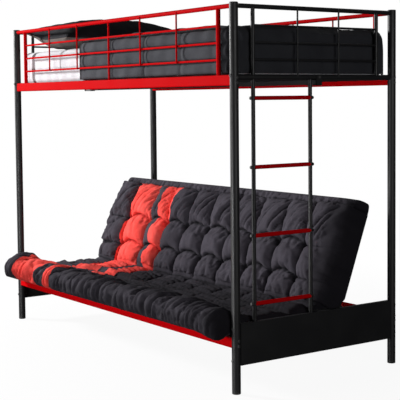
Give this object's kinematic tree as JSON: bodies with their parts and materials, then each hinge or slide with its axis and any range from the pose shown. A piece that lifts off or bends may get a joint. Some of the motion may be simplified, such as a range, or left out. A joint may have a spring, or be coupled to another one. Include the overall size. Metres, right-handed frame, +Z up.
{
  "type": "sofa bunk bed",
  "caption": "Steel bunk bed with guards and an end ladder over a futon sofa whose seat slides forward as its back lies flat.",
  "frame": {"origin": "on the floor, at the middle of the whole outline in the sofa position", "axes": "+X along the bed towards the ladder end, -Y to the front of the sofa, +Z up"},
  "size_m": [2.09, 1.0758, 1.731],
  "materials": {
    "black_frame": "satin powder coat",
    "red_frame": "satin powder coat",
    "bolt_steel": "black oxide",
    "black_plastic": "moulded",
    "nylon_glide": "moulded",
    "futon_cloth": "woven cotton with stripes",
    "sheet_cloth": "plain cotton",
    "quilt_cloth": "quilted cotton",
    "pillow_cloth": "smooth cotton"
  },
  "bodies": {
    "bunk": {"back_guard_bars": "red_frame", "back_guard_rail": "red_frame", "back_guard_uprights": "red_frame", "back_left_post": "black_frame", "back_right_post": "black_frame", "back_side_rail": "red_frame", "beam_brackets": "black_frame", "bunk_mattress": "sheet_cloth", "bunk_slats": "black_frame", "centre_beam": "black_frame", "end_bolts": "bolt_steel", "front_guard_bars": "red_frame", "front_guard_rail": "red_frame", "front_guard_uprights": "red_frame", "front_left_post": "black_frame", "front_right_post": "black_frame", "front_side_rail": "red_frame", "guide_plates": "black_frame", "ladder_back_rail": "black_frame", "ladder_front_rail": "black_frame", "ladder_rung_1": "red_frame", "ladder_rung_2": "red_frame", "ladder_rung_3": "red_frame", "ladder_rung_4": "red_frame", "ladder_rung_bolts": "bolt_steel", "left_crossbar": "black_frame", "left_end_bars": "black_frame", "left_end_panel": "black_frame", "left_end_rail": "black_frame", "left_end_uprights": "black_frame", "pillow": "pillow_cloth", "post_caps": "black_plastic", "post_feet": "black_plastic", "quilt": "quilt_cloth", "rail_bolts": "bolt_steel", "rail_glides": "nylon_glide", "right_crossbar": "black_frame", "right_end_bars": "black_frame", "right_end_panel": "black_frame", "right_end_rail": "black_frame", "right_end_uprights": "black_frame", "sofa_back_rail": "red_frame", "sofa_bearers": "black_frame", "sofa_front_rail": "red_frame", "sofa_runners": "black_frame"},
    "seat": {"seat_front_tube": "red_frame", "seat_rear_tube": "black_frame", "seat_cross_tubes": "black_frame", "seat_strips": "black_frame", "seat_glides": "nylon_glide", "seat_hinge_lugs": "black_frame", "hinge_pins": "bolt_steel", "futon_seat": "futon_cloth"},
    "back": {"back_foot_tube": "black_frame", "back_top_tube": "black_frame", "back_upright_tubes": "black_frame", "back_strips": "black_frame", "back_hinge_lugs": "black_frame", "guide_pins": "bolt_steel", "futon_back": "futon_cloth"}
  },
  "joints": [
    {"name": "seat_slide", "type": "slide", "parent": "bunk", "child": "seat", "axis": [0, -1, 0], "range_m": [0, 0.205]},
    {"name": "back_recline", "type": "hinge", "parent": "seat", "child": "back", "pos_m": [0, 0.1985, 0.254], "axis": [-1, 0, 0], "range_deg": [0, 69]}
  ],
  "couplings": [
    {"joint": "back_recline", "follows": "seat_slide", "rad_per_m": 5.8745}
  ]
}
